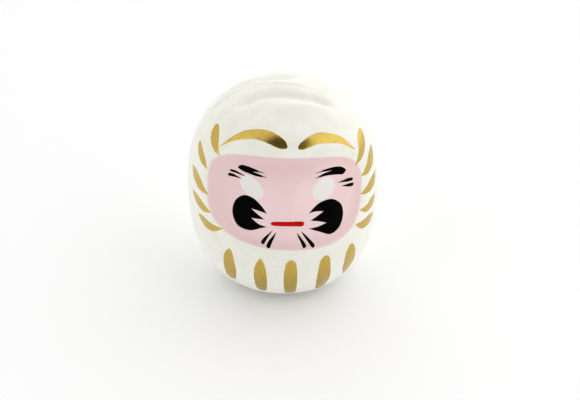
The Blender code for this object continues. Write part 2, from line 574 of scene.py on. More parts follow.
def soft_patch_group() -> EffectGroup:
    """A sprayed patch on the doll's front: a rounded shape with a soft edge."""
    inputs = {
        "Position": (0.0, 0.0, 0.0),
        "Centre": (0.0, 0.0, 0.0),
        "Tilt": 0.0,
        "Half Width": 0.01,
        "Half Height": 0.01,
        "Squareness": 2.0,
        "Edge": 0.001,
    }
    group = EffectGroup("soft_patch", inputs, ["Mask"])
    wires, given = group.wiring, group.given
    ends = {0: given["Position"], 1: given["Centre"]}
    off = wires.node("ShaderNodeVectorMath", ends, operation="SUBTRACT").outputs[0]
    lean = {"Vector": off, "Angle": given["Tilt"]}
    turned = wires.node("ShaderNodeVectorRotate", lean, rotation_type="Y_AXIS").outputs[0]
    total = None
    for axis, half in (("X", "Half Width"), ("Z", "Half Height")):
        share = wires.math("DIVIDE", wires.math("ABSOLUTE", wires.axis(turned, axis)), given[half])
        power = wires.math("POWER", share, given["Squareness"])
        total = power if total is None else wires.math("ADD", total, power)
    root = wires.math("POWER", total, wires.math("DIVIDE", 1.0, given["Squareness"]))
    inside = wires.times(wires.math("SUBTRACT", 1.0, root), given["Half Width"])
    soft = wires.ramp(wires.math("DIVIDE", inside, given["Edge"]), -0.5, 0.5)
    front = wires.math("LESS_THAN", wires.axis(given["Position"], "Y"), 0.0)
    wires.feed(group.result["Mask"], wires.times(soft, front))
    return group


def paper_tooth_group() -> EffectGroup:
    """The skin of brushed ground coat on pulp: slow waves, fine tooth and a tint."""
    inputs = {"Position": (0.0, 0.0, 0.0), "Wave": 0.6, "Tooth": 0.4}
    group = EffectGroup("paper_tooth", inputs, ["Height", "Tint", "Polish"])
    wires, given = group.wiring, group.given
    place = given["Position"]
    brushed = wires.noise(wires.stretched(place, (1.0, 1.0, 0.35)), 420.0, 3.0)
    pulp = wires.noise(place, 900.0, 4.0)
    grain = wires.noise(place, 3600.0, 2.0)
    fine = wires.math("MULTIPLY_ADD", grain, 0.3, wires.times(pulp, 0.7))
    waves = wires.times(brushed, given["Wave"])
    height = wires.math("MULTIPLY_ADD", fine, given["Tooth"], waves)
    wires.feed(group.result["Height"], height)
    wires.feed(group.result["Tint"], wires.ramp(wires.noise(place, 150.0, 4.0), 0.38, 0.66))
    wires.feed(group.result["Polish"], wires.ramp(wires.noise(place, 260.0, 3.0), 0.3, 0.7))
    return group


def fleck_group() -> EffectGroup:
    """Rare small specks of fibre and dust caught in the coat."""
    inputs = {"Position": (0.0, 0.0, 0.0), "Scale": 220.0, "Size": 0.06, "Share": 0.04}
    group = EffectGroup("flecks", inputs, ["Mask"])
    wires, given = group.wiring, group.given
    spread = {"Vector": given["Position"], "Scale": given["Scale"]}
    cells = wires.node("ShaderNodeTexVoronoi", spread, feature="F1")
    chance = wires.axis(cells.outputs["Color"], "X")
    size = wires.times(given["Size"], wires.math("ADD", chance, 0.6))
    inside = wires.math("LESS_THAN", cells.outputs["Distance"], size)
    picked = wires.math("LESS_THAN", chance, given["Share"])
    wires.feed(group.result["Mask"], wires.times(inside, picked))
    return group


def brush_drag_group() -> EffectGroup:
    """The streaks that bristles leave along a stroke, read from the stroke's own map."""
    inputs = {"Along": (0.0, 0.0, 0.0), "Bristles": 22.0}
    group = EffectGroup("brush_drag", inputs, ["Streak", "Pool"])
    wires, given = group.wiring, group.given
    lined = wires.stretched(given["Along"], (0.12, 1.0, 1.0))
    streak = wires.noise(lined, given["Bristles"], 4.0)
    pool = wires.noise(wires.stretched(given["Along"], (1.0, 1.6, 1.0)), 3.2, 2.0)
    wires.feed(group.result["Streak"], wires.ramp(streak, 0.28, 0.72))
    wires.feed(group.result["Pool"], wires.ramp(pool, 0.3, 0.7))
    return group


class Effects:
    """The shader effects that the finishes share, each built once."""

    def __init__(self) -> None:
        """Builds every group."""
        self.soft_patch = soft_patch_group()
        self.paper_tooth = paper_tooth_group()
        self.flecks = fleck_group()
        self.brush_drag = brush_drag_group()


def new_surface(name: str) -> tuple[Material, Wiring, Any]:
    """Makes a material.

    Args:
        name: the material's name.

    Returns:
        The material, its wiring, and its shader's inputs.
    """
    made = bpy.data.materials.new(name)
    made.use_nodes = True
    return made, Wiring(made.node_tree), made.node_tree.nodes["Principled BSDF"].inputs


def object_place(wires: Wiring) -> NodeSocket:
    """Gives the place on the object that is being shaded."""
    return wires.node("ShaderNodeTexCoord").outputs["Object"]


def stroke_place(wires: Wiring) -> NodeSocket:
    """Gives the place along and across a brush stroke, in centimetres."""
    return wires.node("ShaderNodeUVMap", uv_map=STROKE_MAP).outputs[0]


def dress(wires: Wiring, shader: Any, tone: Any, rough: Any, height: Any, relief: float) -> None:
    """Gives a shader its colour, its roughness and its relief.

    Args:
        wires: the material's wiring.
        shader: the shader's inputs.
        tone: the colour.
        rough: the roughness.
        height: the relief's shape, from 0 to 1.
        relief: how deep it is, in metres.
    """
    wires.feed(shader["Base Color"], tone)
    wires.feed(shader["Roughness"], rough)
    normal = wires.node("ShaderNodeBump", {"Height": height, "Distance": relief}).outputs[0]
    wires.feed(shader["Normal"], normal)


# ---- Finishes ----


@dataclass(frozen=True)
class SprayedPatch:
    """A soft patch of colour on the face.

    Attributes:
        tone: its colour.
        centre: its middle (x, z) in millimetres, seen from the front.
        half_sizes: half its width and height in millimetres.
        tilt: how far it leans, in degrees.
        squareness: 2 for an oval, more for a rounded box.
        edge: how wide its soft edge is.
        cover: how much of the colour below it hides.
    """

    tone: Colour
    centre: Pair
    half_sizes: Pair
    tilt: float = 0.0
    squareness: float = 2.0
    edge: float = 1.2 * MM
    cover: float = 1.0


FACE_PATCHES = (
    SprayedPatch(colour(0.80, 0.572, 0.563), (-1.7, 63.1), (36.4, 22.1), -3.8, 3.3, 1.4 * MM),
    # painted light: a lighter pink fading out from the middle of the face, for light that falls
    # there more than on its sides
    SprayedPatch(colour(0.86, 0.642, 0.635), (0.5, 61.0), (25.0, 17.0), 0.0, 2.0, 18.0 * MM),
    SprayedPatch(
        colour(0.825, 0.797, 0.742), (-17.7, 71.4), (6.0, 4.1), -44.0, 2.1, 1.0 * MM, 0.92,
    ),
    SprayedPatch(colour(0.825, 0.797, 0.742), (15.5, 69.8), (5.6, 4.8), 36.0, 2.2, 1.0 * MM, 0.95),
)


@dataclass(frozen=True)
class GroundCoat:
    """Shell-white ground coat on paper, with a satin varnish, the sprayed face and painted light
    low down.
    """

    name: str
    patches: tuple[SprayedPatch, ...] = ()
    white: Colour = colour(0.86, 0.857, 0.772)
    aged: Colour = colour(0.815, 0.80, 0.70)
    # painted light: a lighter white towards the foot, standing in for light bounced up from the
    # floor
    painted_light_near_foot: Colour = colour(0.925, 0.92, 0.85)
    fleck: Colour = colour(0.30, 0.24, 0.18)
    ageing: float = 0.6
    fleck_cover: float = 0.7
    painted_light_z: Pair = (36.0 * MM, 8.0 * MM)
    roughness: Pair = (0.34, 0.46)
    relief: float = 0.05 * MM

    def make(self, effects: Effects) -> Material:
        """Builds the material."""
        made, wires, shader = new_surface(self.name)
        place = object_place(wires)
        skin = effects.paper_tooth.place(wires, Position=place)
        tone = wires.mix(wires.times(skin["Tint"], self.ageing), self.white, self.aged)
        # painted light: the coat turns lighter towards the foot, for light bounced up from the
        # floor
        painted_light_near_foot = wires.ramp(wires.axis(place, "Z"), *self.painted_light_z)
        tone = wires.mix(painted_light_near_foot, tone, self.painted_light_near_foot)
        for patch in self.patches:
            mask = self.patch_mask(wires, effects, place, patch)
            tone = wires.mix(mask, tone, patch.tone)
        flecks = effects.flecks.place(wires, Position=place, Scale=450.0, Size=0.15, Share=0.06)
        tone = wires.mix(wires.times(flecks["Mask"], self.fleck_cover), tone, self.fleck)
        rough = wires.between(skin["Polish"], *self.roughness)
        dress(wires, shader, tone, rough, skin["Height"], self.relief)
        shader["Coat Weight"].default_value = 0.25
        shader["Coat Roughness"].default_value = 0.18
        return made

    def patch_mask(
        self, wires: Wiring, effects: Effects, place: Any, patch: SprayedPatch
    ) -> NodeSocket:
        """Gives one patch's cover over the coat, from 0 to 1."""
        mask = effects.soft_patch.place(
            wires,
            Position=place,
            Centre=(patch.centre[0] * MM, 0.0, patch.centre[1] * MM),
            Tilt=math.radians(patch.tilt),
            Half_Width=patch.half_sizes[0] * MM,
            Half_Height=patch.half_sizes[1] * MM,
            Squareness=patch.squareness,
            Edge=patch.edge,
        )["Mask"]
        return wires.times(mask, patch.cover)


@dataclass(frozen=True)
class BronzePaint:
    """Gold paint: metal powder in varnish, streaked by the brush, with painted shade low down."""

    name: str = "gold_paint"
    bright: Colour = colour(0.62, 0.435, 0.095)
    deep: Colour = colour(0.45, 0.315, 0.062)
    roughness: Pair = (0.17, 0.25)
    relief: float = 0.01 * MM
    # painted shade: the gold darkens towards the foot, for the shadowed floor that it reflects
    # there
    painted_shade_z: Pair = (34.0 * MM, 10.0 * MM)
    painted_shade_share: float = 0.6
    pool_share: float = 0.3
    streak_share: float = 0.25

    def make(self, effects: Effects) -> Material:
        """Builds the material."""
        made, wires, shader = new_surface(self.name)
        drag = effects.brush_drag.place(wires, Along=stroke_place(wires))
        place = object_place(wires)
        powder = wires.noise(place, 5200.0, 2.0)
        # painted shade: darker towards the foot, added to the brush's own pooling
        low = wires.ramp(wires.axis(place, "Z"), *self.painted_shade_z)
        painted_shade = wires.times(low, self.painted_shade_share)
        painted_light_near_foot = wires.math("MULTIPLY_ADD", drag["Pool"], self.pool_share, painted_shade)
        share = wires.math("MULTIPLY_ADD", drag["Streak"], self.streak_share, painted_light_near_foot)
        tone = wires.mix(share, self.bright, self.deep)
        rough = wires.between(drag["Streak"], *self.roughness)
        height = wires.math("MULTIPLY_ADD", powder, 0.35, drag["Streak"])
        dress(wires, shader, tone, rough, height, self.relief)
        shader["Metallic"].default_value = 0.95
        return made


@dataclass(frozen=True)
class Lacquer:
    """Glossy brush paint: thin where the bristles dragged, full where it pooled."""

    name: str
    full: Colour
    thin: Colour
    roughness: Pair = (0.24, 0.36)
    shine: float = 0.012
    relief: float = 0.03 * MM

    def make(self, effects: Effects) -> Material:
        """Builds the material."""
        made, wires, shader = new_surface(self.name)
        drag = effects.brush_drag.place(wires, Along=stroke_place(wires), Bristles=14.0)
        share = wires.times(drag["Streak"], drag["Pool"])
        tone = wires.mix(share, self.full, self.thin)
        rough = wires.between(drag["Streak"], *self.roughness)
        dress(wires, shader, tone, rough, drag["Streak"], self.relief)
        shader["Specular IOR Level"].default_value = self.shine
        return made


BLACK_LACQUER = Lacquer(
    "black_paint", full=colour(0.0007, 0.0006, 0.0006), thin=colour(0.002, 0.0018, 0.0018)
)
RED_LACQUER = Lacquer(
    "red_paint",
    full=colour(0.49, 0.005, 0.003),
    thin=colour(0.56, 0.012, 0.007),
    roughness=(0.2, 0.34),
)


@dataclass(frozen=True)
class RawClay:
    """Air-dried clay, with the ground coat lapped over its side and the edge of its foot."""

    name: str = "bare_clay"
    clay: Colour = colour(0.46, 0.37, 0.27)
    dark: Colour = colour(0.27, 0.21, 0.15)
    coat: Colour = colour(0.86, 0.85, 0.78)
    coat_low_z: float = 0.95 * MM
    lap_waver: float = 0.8 * MM
    lap_edge: float = 0.3 * MM
    roughness: Pair = (0.92, 0.45)
    relief: float = 0.25 * MM

    def make(self, effects: Effects) -> Material:
        """Builds the material."""
        made, wires, shader = new_surface(self.name)
        place = object_place(wires)
        skin = effects.paper_tooth.place(wires, Position=place, Wave=1.0, Tooth=0.6)
        grit = effects.flecks.place(wires, Position=place, Scale=700.0, Size=0.35, Share=0.3)
        body = wires.mix(skin["Tint"], self.clay, self.dark)
        body = wires.mix(wires.times(grit["Mask"], 0.5), body, self.dark)
        edge = wires.noise(place, 260.0, 3.0)
        lap = wires.math("MULTIPLY_ADD", edge, self.lap_waver, wires.axis(place, "Z"))
        painted = wires.ramp(lap, self.coat_low_z, self.coat_low_z + self.lap_edge)
        tone = wires.mix(painted, body, self.coat)
        rough = wires.between(painted, *self.roughness)
        height = wires.times(skin["Height"], wires.math("SUBTRACT", 1.15, painted))
        dress(wires, shader, tone, rough, height, self.relief)
        return made


@dataclass(frozen=True)
class HideGlue:
    """Amber glue, set hard."""

    name: str = "hide_glue"
    light: Colour = colour(0.55, 0.30, 0.08)
    dark: Colour = colour(0.28, 0.12, 0.03)
    roughness: Pair = (0.15, 0.35)
    relief: float = 0.2 * MM

    def make(self, effects: Effects) -> Material:
        """Builds the material."""
        made, wires, shader = new_surface(self.name)
        skin = effects.paper_tooth.place(wires, Position=object_place(wires))
        tone = wires.mix(skin["Tint"], self.light, self.dark)
        rough = wires.between(skin["Polish"], *self.roughness)
        dress(wires, shader, tone, rough, skin["Tint"], self.relief)
        return made


# ---- Shells, strips, ring and weight ----


class Side(Enum):
    """The two halves of the body."""

    FRONT = -1
    BACK = 1


@dataclass
class PaperShell:
    """Half of the body, moulded in paper pulp.

    Attributes:
        form: the body's form.
        side: which half it is.
        seam_y: the plane where the halves meet.
        rim_z: the height of the round bottom edge.
        wall: the paper's thickness.
        segments: coarse faces round the Y axis.
        rings: coarse faces from the front to the back.
        cuts: how often each coarse edge is cut.
    """

    form: BodyForm
    side: Side
    seam_y: float
    rim_z: float
    wall: float = 2.2 * MM
    segments: int = 100
    rings: int = 50
    cuts: int = 3

    def mesh(self) -> BMesh:
        """Builds the half as an open sheet with its poles at the face and the back."""
        form = bmesh.new()
        bmesh.ops.create_uvsphere(form, u_segments=self.segments, v_segments=self.rings, radius=1)
        bmesh.ops.subdivide_edges(form, edges=form.edges[:], cuts=self.cuts, use_grid_fill=True)
        half_step = Matrix.Rotation(math.pi / self.segments, 4, "Z")
        turn = Matrix.Rotation(math.pi / 2, 4, "X") @ half_step
        bmesh.ops.transform(form, matrix=turn, verts=form.verts)
        move_to(form.verts, self.form.surface(places_of(form.verts) + self.form.middle))
        cut_away(form, (0, self.seam_y, 0), (0, self.side.value, 0))
        cut_away(form, (0, 0, self.rim_z), (0, 0, 1))
        return form

    def build(self, wears: Material) -> Object:
        """Builds and dresses the half."""
        node = f"{self.side.name.lower()}_shell"
        name = f"{self.side.name.lower()}_painted_shell"
        return finish_piece(self.mesh(), PieceOrder(name, Slot.PAPER, wears, (node,), self.wall))


def pasted_lift(inside: np.ndarray, thickness: float, edge: float) -> np.ndarray:
    """Gives the height of a pasted and painted-over paper strip above what it lies on.

    Args:
        inside: the distance from the strip's edge, in metres.
        thickness: the full height of the paper and its coat.
        edge: the distance over which the coat rises to that height.

    Returns:
        Heights, just below 0 at the very edge.
    """
    step, sunk, step_width = 0.03 * MM, 0.05 * MM, 0.15 * MM
    paper_edge = (step + sunk) * smooth(inside / step_width) - sunk
    return paper_edge + (thickness - step) * smooth(inside / edge)


@dataclass
class SeamStrip:
    """A strip of paper pasted over the seam and painted with the body.

    Attributes:
        form: the body's form.
        name: the piece's name.
        node: the CAD node that it replaces.
        seam_y: the seam's plane, which the strip lies across.
        width: across the strip.
        start: the angle from upright towards +X where it begins, in degrees.
        end: the angle where it ends.
        thickness: the paper and its coat.
        edge: how wide the strip's softened edge is.
        waver: how far the cut edges wander, in lumps of waver_size.
        wrinkle: how high the paper's wrinkles are, in lumps of wrinkle_sizes.
        columns: faces along the strip.
        rows: faces across it.
    """

    form: BodyForm
    name: str
    node: str
    seam_y: float
    width: float
    start: float
    end: float
    thickness: float = 0.3 * MM
    edge: float = 3.2 * MM
    waver: float = 0.5 * MM
    waver_size: float = 9.0 * MM
    wrinkle: float = 0.06 * MM
    wrinkle_sizes: Point = (12 * MM, 1.5 * MM, 12 * MM)
    columns: int = 300
    rows: int = 34

    def mesh(self) -> BMesh:
        """Builds the strip's upper face as an open sheet."""
        form = bmesh.new()
        bmesh.ops.create_grid(form, x_segments=self.columns, y_segments=self.rows, size=1)
        along, across, _ = places_of(form.verts).T
        angle = np.radians(self.start + (self.end - self.start) * (along + 1) / 2)
        spine = np.stack([np.sin(angle), np.zeros_like(angle), np.cos(angle)], axis=1)
        spine = self.form.middle + spine * self.form.plain_reach(spine)[:, None]
        half_width = self.width / 2 + self.waver * rippled(spine, self.waver_size, seed=7.1)
        offset = np.sin(across * math.pi / 2) * half_width
        spine[:, 1] = self.seam_y + offset
        length = math.radians(abs(self.end - self.start)) * self.form.width / 2
        inside = np.minimum(half_width - np.abs(offset), (1 - np.abs(along)) * length / 2)
        lift = pasted_lift(inside, self.thickness, self.edge)
        folds = rippled(spine, self.wrinkle_sizes, seed=3.9)
        lift += self.wrinkle * folds * smooth(inside / (2 * self.edge))
        move_to(form.verts, self.form.surface(spine, lift))
        face_outwards(form, self.form.middle)
        return form

    def build(self, wears: Material) -> Object:
        """Builds and dresses the strip."""
        order = PieceOrder(self.name, Slot.STRIP, wears, (self.node,), self.thickness)
        return finish_piece(self.mesh(), order)


@dataclass
class FootPaperRing:
    """Paper pasted round the joint between the shells and the weight."""

    form: BodyForm
    low_z: float
    high_z: float
    thickness: float = 0.28 * MM
    wall: float = 0.3 * MM
    edge: float = 2.0 * MM
    waver: float = 0.5 * MM
    waver_size: float = 7.0 * MM
    columns: int = 260
    rows: int = 22

    def lift_at(self, z: np.ndarray) -> np.ndarray:
        """Gives the ring's height above the shells at some levels."""
        return pasted_lift(np.minimum(z - self.low_z, self.high_z - z), self.thickness, self.edge)

    def mesh(self) -> BMesh:
        """Builds the ring's outer face, with a top edge that wanders."""
        heights = np.linspace(self.low_z, self.high_z, self.rows + 1)
        form = spun(zip(self.form.radius_at(heights), heights), self.columns)
        places = places_of(form.verts)
        lift = self.lift_at(places[:, 2])
        shift = self.waver * rippled(places * (1, 1, 0), self.waver_size, seed=5.5)
        places[:, 2] += shift * smooth((places[:, 2] - self.low_z) / (self.high_z - self.low_z))
        move_to(form.verts, self.form.surface(places, lift))
        face_outwards(form, self.form.middle)
        return form

    def build(self, wears: Material) -> Object:
        """Builds and dresses the ring."""
        order = PieceOrder("painted_foot_ring", Slot.STRIP, wears, ("foot_paper_ring",), self.wall)
        return finish_piece(self.mesh(), order)


@dataclass
class ClayWeight:
    """The clay plug in the foot: a dome inside, a shoulder, and the flat that it stands on."""

    form: BodyForm
    height: float
    seat_z: float
    plug_radius: float = 22.0 * MM
    shoulder: float = 3.2 * MM
    foot_edge: float = 1.2 * MM
    pit: float = 0.35 * MM
    pit_sizes: Pair = (3.1 * MM, 9.0 * MM)
    pit_margin: float = 3.0 * MM
    columns: int = 220
    rows: int = 24
    bend_rows: int = 5

    def profile(self) -> Iterable[Pair]:
        """Gives (radius, z) points from the dome's top down to the foot's middle."""
        foot_radius = self.form.foot_radius
        dome_z = self.seat_z + self.shoulder
        dome = np.linspace(0, math.pi / 2, self.rows)
        flank_z = np.linspace(self.seat_z, self.foot_edge, self.rows)
        flank = self.form.radius_at(flank_z)
        bend = np.linspace(0, math.pi / 2, self.bend_rows + 1)[1:]
        foot = np.linspace(foot_radius, 0, 3 * self.rows)[1:]
        bend_out = foot_radius + (flank[-1] - foot_radius) * np.cos(bend)
        bend_z = self.foot_edge * (1 - np.sin(bend))
        dome_up = dome_z + (self.height - dome_z) * np.cos(dome)
        out = [self.plug_radius * np.sin(dome), [self.plug_radius], flank, bend_out, foot]
        up = [dome_up, [self.seat_z], flank_z, bend_z, np.zeros_like(foot)]
        return zip(np.concatenate(out), np.concatenate(up))

    def mesh(self) -> BMesh:
        """Spins the plug's profile and pits the underside."""
        form = spun(self.profile(), self.columns)
        bmesh.ops.recalc_face_normals(form, faces=form.faces)
        places = places_of(form.verts)
        radius = np.hypot(places[:, 0], places[:, 1])
        inside = smooth((self.form.foot_radius - radius) / self.pit_margin)
        fine, broad = self.pit_sizes
        lumps = rippled(places, fine, seed=2.2) + rippled(places, broad, seed=8.8)
        places[:, 2] += self.pit * (places[:, 2] < SNAP) * inside * np.maximum(lumps, 0)
        move_to(form.verts, places)
        return form

    def build(self, wears: Material) -> Object:
        """Builds and dresses the weight."""
        order = PieceOrder("clay_foot_weight", Slot.CLAY, wears, ("base_weight",))
        return finish_piece(self.mesh(), order)


# ---- Brush strokes ----


class Tip(Enum):
    """How a stroke ends."""

    FINE = "fine"
    ROUND = "round"
    DRY = "dry"


@dataclass(frozen=True)
class Stroke:
    """One pull of the brush.

    Attributes:
        points: (turn, height, width) along the stroke's middle: degrees round from the front
            towards +X, millimetres above the foot, and millimetres across the stroke.
        start: how it begins.
        end: how it ends.
    """

    points: tuple[Point, ...]
    start: Tip = Tip.ROUND
    end: Tip = Tip.FINE


@dataclass(frozen=True)
class Blot:
    """A filled shape whose edge runs through corners.

    Attributes:
        runs: the stretches of its edge, in order. Each is a smooth curve through points
            (turn, height). It starts at the corner where the run before it ends.
    """

    runs: tuple[tuple[Pair, ...], ...]


@dataclass(frozen=True)
class Paint:
    """A paint: the record's slot, how far it stands off the surface, and its finish."""

    slot: Slot
    thickness: float
    wears: Material


class PaintFilm:
    """A group of strokes in one paint, as thin closed films that lie on the doll.

    Attributes:
        SUNK: how far each film reaches below the surface that it lies on.
        RIM: over what distance its edge rises.
        STEP: the size of its faces along a stroke.
        WAVER: how much a stroke's width varies, as a share, in lumps of WAVER_SIZES.
        RAG: how far the hairs of a dry end stray, in lumps of RAG_SIZES.
        RAG_START: the share of the stroke after which they stray.
        DRY_REACH: over how many half widths a dry end closes.
        ACROSS: the breadth over which the lumps are read across a stroke.
    """

    SUNK = 0.12 * MM
    RIM = 0.14 * MM
    STEP = 0.45 * MM
    ROWS = 10
    FEWEST_COLUMNS = 12
    MOST_SPLITS = 6
    WAVER = 0.05
    WAVER_SIZES = (1.6 * MM, 40 * MM, 1.0)
    RAG = 0.5 * MM
    RAG_SIZES = (90 * MM, 1.3 * MM, 1.0)
    RAG_START = 0.9
    DRY_REACH = 0.45
    ACROSS = 4 * MM

    def __init__(self, form: BodyForm, under: FootPaperRing, name: str, paint: Paint) -> None:
        """Starts an empty group.

        Args:
            form: the body that the paint lies on.
            under: the pasted ring, which lifts the paint that crosses it.
            name: the piece's name.
            paint: what it is painted in.
        """
        self.form = form
        self.under = under
        self.name = name
        self.paint = paint
        self.mesh = bmesh.new()
        self.map = self.mesh.loops.layers.uv.new(STROKE_MAP)
        self.seed = float(sum(map(ord, name)))

    def settle(self, verts: Sequence[BMVert], toward: np.ndarray, lift: np.ndarray) -> None:
        """Puts vertices on the doll's skin in the direction of some points."""
        ring = np.maximum(self.under.lift_at(toward[:, 2]), 0)
        move_to(verts, self.form.surface(toward, lift + ring))

    def add_stroke(self, stroke: Stroke) -> None:
        """Lays down one stroke as a grid that follows its middle line."""
        before = len(self.mesh.verts)
        length = self.length_of(stroke)
        columns = max(self.FEWEST_COLUMNS, round(length / self.STEP))
        bmesh.ops.create_grid(self.mesh, x_segments=columns, y_segments=self.ROWS, size=1)
        verts = self.mesh.verts[before:]
        along, across, _ = places_of(verts).T
        shares = (1 - np.cos((along + 1) * math.pi / 2)) / 2
        side = np.sin(across * math.pi / 2)
        turns, heights, widths = curve_through(stroke.points, shares).T
        half = np.maximum(widths, 0) * MM / 2
        run = shares * length
        half *= self.closing(stroke.start, run, half)
        half *= self.closing(stroke.end, length - run, half)
        own = np.full_like(run, self.seed + before)
        seeded = np.stack([run, side * self.ACROSS, own], axis=1)
        half *= 1 + self.WAVER * rippled(seeded, self.WAVER_SIZES, seed=0.5)
        spine = self.form.round_at(turns, heights)
        places = spine + self.sideways(stroke, shares) * (side * half)[:, None]
        if stroke.end is Tip.DRY:
            worn = smooth((shares - self.RAG_START) / (1 - self.RAG_START))
            places[:, 2] -= self.RAG * worn * rippled(seeded, self.RAG_SIZES, seed=6.4)
        inside = np.minimum((1 - np.abs(side)) * half, np.minimum(run, length - run))
        self.settle(verts, places, self.paint.thickness * smooth(inside / self.RIM))
        self.map_faces(verts, np.stack([run, side * half], axis=1))

    def length_of(self, stroke: Stroke) -> float:
        """Measures a stroke along its middle line, in metres."""
        turns, heights, _ = curve_through(stroke.points, np.linspace(0, 1, 30)).T
        line = self.form.round_at(turns, heights)
        return float(np.linalg.norm(np.diff(line, axis=0), axis=1).sum())

    def sideways(self, stroke: Stroke, shares: np.ndarray) -> np.ndarray:
        """Gives the direction across the stroke, on the surface, at some shares of it."""
        step = 0.01
        ends = [
            self.form.round_at(*curve_through(stroke.points, np.clip(shares + way, 0, 1)).T[:2])
            for way in (-step, step)
        ]
        ahead = ends[1] - ends[0]
        outward = (ends[0] + ends[1]) / 2 - self.form.middle
        across = np.cross(outward, ahead)
        return across / np.linalg.norm(across, axis=1)[:, None]

    def closing(self, tip: Tip, gap: np.ndarray, half: np.ndarray) -> np.ndarray:
        """Gives how much of its width a stroke keeps near one end.

        Args:
            tip: how the stroke ends there.
            gap: the distance to that end.
            half: the stroke's half width.

        Returns:
            A factor from 0 to 1 for each place.
        """
        if tip is Tip.FINE:
            return np.ones_like(gap)
        reach = half.max() * (1.0 if tip is Tip.ROUND else self.DRY_REACH)
        short = np.clip(1 - gap / reach, 0, 1)
        return np.sqrt(np.maximum(1 - short**2, 0))

    def add_blot(self, blot: Blot) -> None:
        """Lays down a filled shape, with an inset rim and an even net of points inside."""
        flat_form = bmesh.new()
        flat_form.faces.new([flat_form.verts.new((u, v, 0.0)) for u, v in self.outline(blot)])
        bmesh.ops.recalc_face_normals(flat_form, faces=flat_form.faces)
        bmesh.ops.inset_region(flat_form, faces=flat_form.faces[:], thickness=self.RIM)
        self.refine(flat_form)
        flat_form.verts.index_update()
        edge = [vert.index for vert in flat_form.verts if vert.is_boundary]
        spare = bpy.data.meshes.new("spare")
        flat_form.to_mesh(spare)
        flat_form.free()
        before = len(self.mesh.verts)
        self.mesh.from_mesh(spare)
        bpy.data.meshes.remove(spare)
        self.mesh.verts.ensure_lookup_table()
        verts = self.mesh.verts[before:]
        flat = places_of(verts)[:, :2]
        turns = np.degrees(flat[:, 0] / (self.form.width / 2))
        lift = np.full(len(verts), self.paint.thickness)
        lift[edge] = 0.0
        self.settle(verts, self.form.round_at(turns, flat[:, 1] / MM), lift)
        self.map_faces(verts, flat)

    def outline(self, blot: Blot) -> list[np.ndarray]:
        """Gives even points round a blot's edge, rolled out flat."""
        points: list[np.ndarray] = []
        corner = blot.runs[-1][-1]
        for run in blot.runs:
            flat = np.array([self.flatten(*point) for point in (corner, *run)])
            length = np.linalg.norm(np.diff(flat, axis=0), axis=1).sum()
            shares = np.linspace(0, 1, max(3, round(length / self.STEP) + 1))
            points.extend(curve_through(flat, shares)[:-1])
            corner = run[-1]
        return points

    def flatten(self, turn: float, height: float) -> Pair:
        """Rolls the body out flat: a turn and a height become metres across and up."""
        return math.radians(turn) * self.form.width / 2, height * MM

    def refine(self, form: BMesh) -> None:
        """Splits a flat shape's long inner edges until its faces are small and even."""
        longest = 2 * self.STEP
        bmesh.ops.triangulate(form, faces=form.faces[:])
        for _ in range(self.MOST_SPLITS):
            inner = [edge for edge in form.edges if not edge.is_boundary]
            long = [edge for edge in inner if edge.calc_length() > longest]
            if not long:
                break
            bmesh.ops.subdivide_edges(form, edges=long, cuts=1)
            bmesh.ops.triangulate(form, faces=form.faces[:])
            inner = [edge for edge in form.edges if not edge.is_boundary]
            bmesh.ops.beautify_fill(form, faces=form.faces[:], edges=inner)

    def map_faces(self, verts: Sequence[BMVert], flat: np.ndarray) -> None:
        """Writes each vertex's place along and across the stroke, in centimetres."""
        centimetre = 10 * MM
        for vert, (along, across) in zip(verts, flat):
            for loop in vert.link_loops:
                loop[self.map].uv = (along / centimetre, across / centimetre)

    def build(self) -> Object:
        """Turns every face outwards and gives the films their thickness."""
        bmesh.ops.remove_doubles(self.mesh, verts=self.mesh.verts, dist=FINE_SNAP)
        bmesh.ops.dissolve_degenerate(self.mesh, edges=self.mesh.edges, dist=FINE_SNAP)
        face_outwards(self.mesh, self.form.middle)
        paint = self.paint
        order = PieceOrder(self.name, paint.slot, paint.wears, (), paint.thickness + self.SUNK)
        return finish_piece(self.mesh, order)


